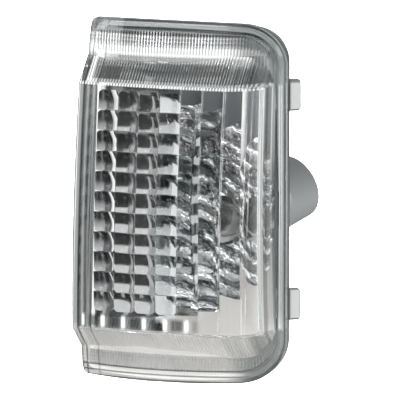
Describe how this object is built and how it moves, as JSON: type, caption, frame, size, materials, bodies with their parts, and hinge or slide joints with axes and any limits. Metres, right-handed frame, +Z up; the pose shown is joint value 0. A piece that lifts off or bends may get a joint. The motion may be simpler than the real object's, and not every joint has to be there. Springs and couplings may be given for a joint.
{
  "type": "mirror turn signal lamp",
  "caption": "Turn signal lamp for a door mirror: clear stepped lens with ribs, pillow optics and flutes, grey tray with bulb collar, faceted reflector, wedge bulb and twist-lock holder.",
  "frame": {"origin": "centre of the fixing boss's mouth, on the back of the tray", "axes": "the lens faces -Y, +Y points into the mirror along the fixing screw, +Z is up and +X is the edge with the clips"},
  "size_m": [0.0906, 0.0737, 0.1495],
  "materials": {
    "clear_lens": "clear polished moulded plastic",
    "grey_tray": "fine satin light grey plastic",
    "metallised": "vacuum metallised, bright",
    "holder_plastic": "satin dark grey plastic",
    "seal_rubber": "matte rubber",
    "contact_brass": "stamped strip",
    "bulb_glass": "clear glass",
    "bulb_wire": "drawn wire",
    "filament": "dark wound wire"
  },
  "bodies": {
    "root": {"lens": "clear_lens", "tray": "grey_tray", "reflector": "metallised", "bulb_holder": "holder_plastic", "holder_seal": "seal_rubber", "contact_left": "contact_brass", "contact_right": "contact_brass", "bulb_glass": "bulb_glass", "bulb_wire_left": "bulb_wire", "bulb_wire_right": "bulb_wire", "bulb_filament": "filament"}
  },
  "joints": []
}
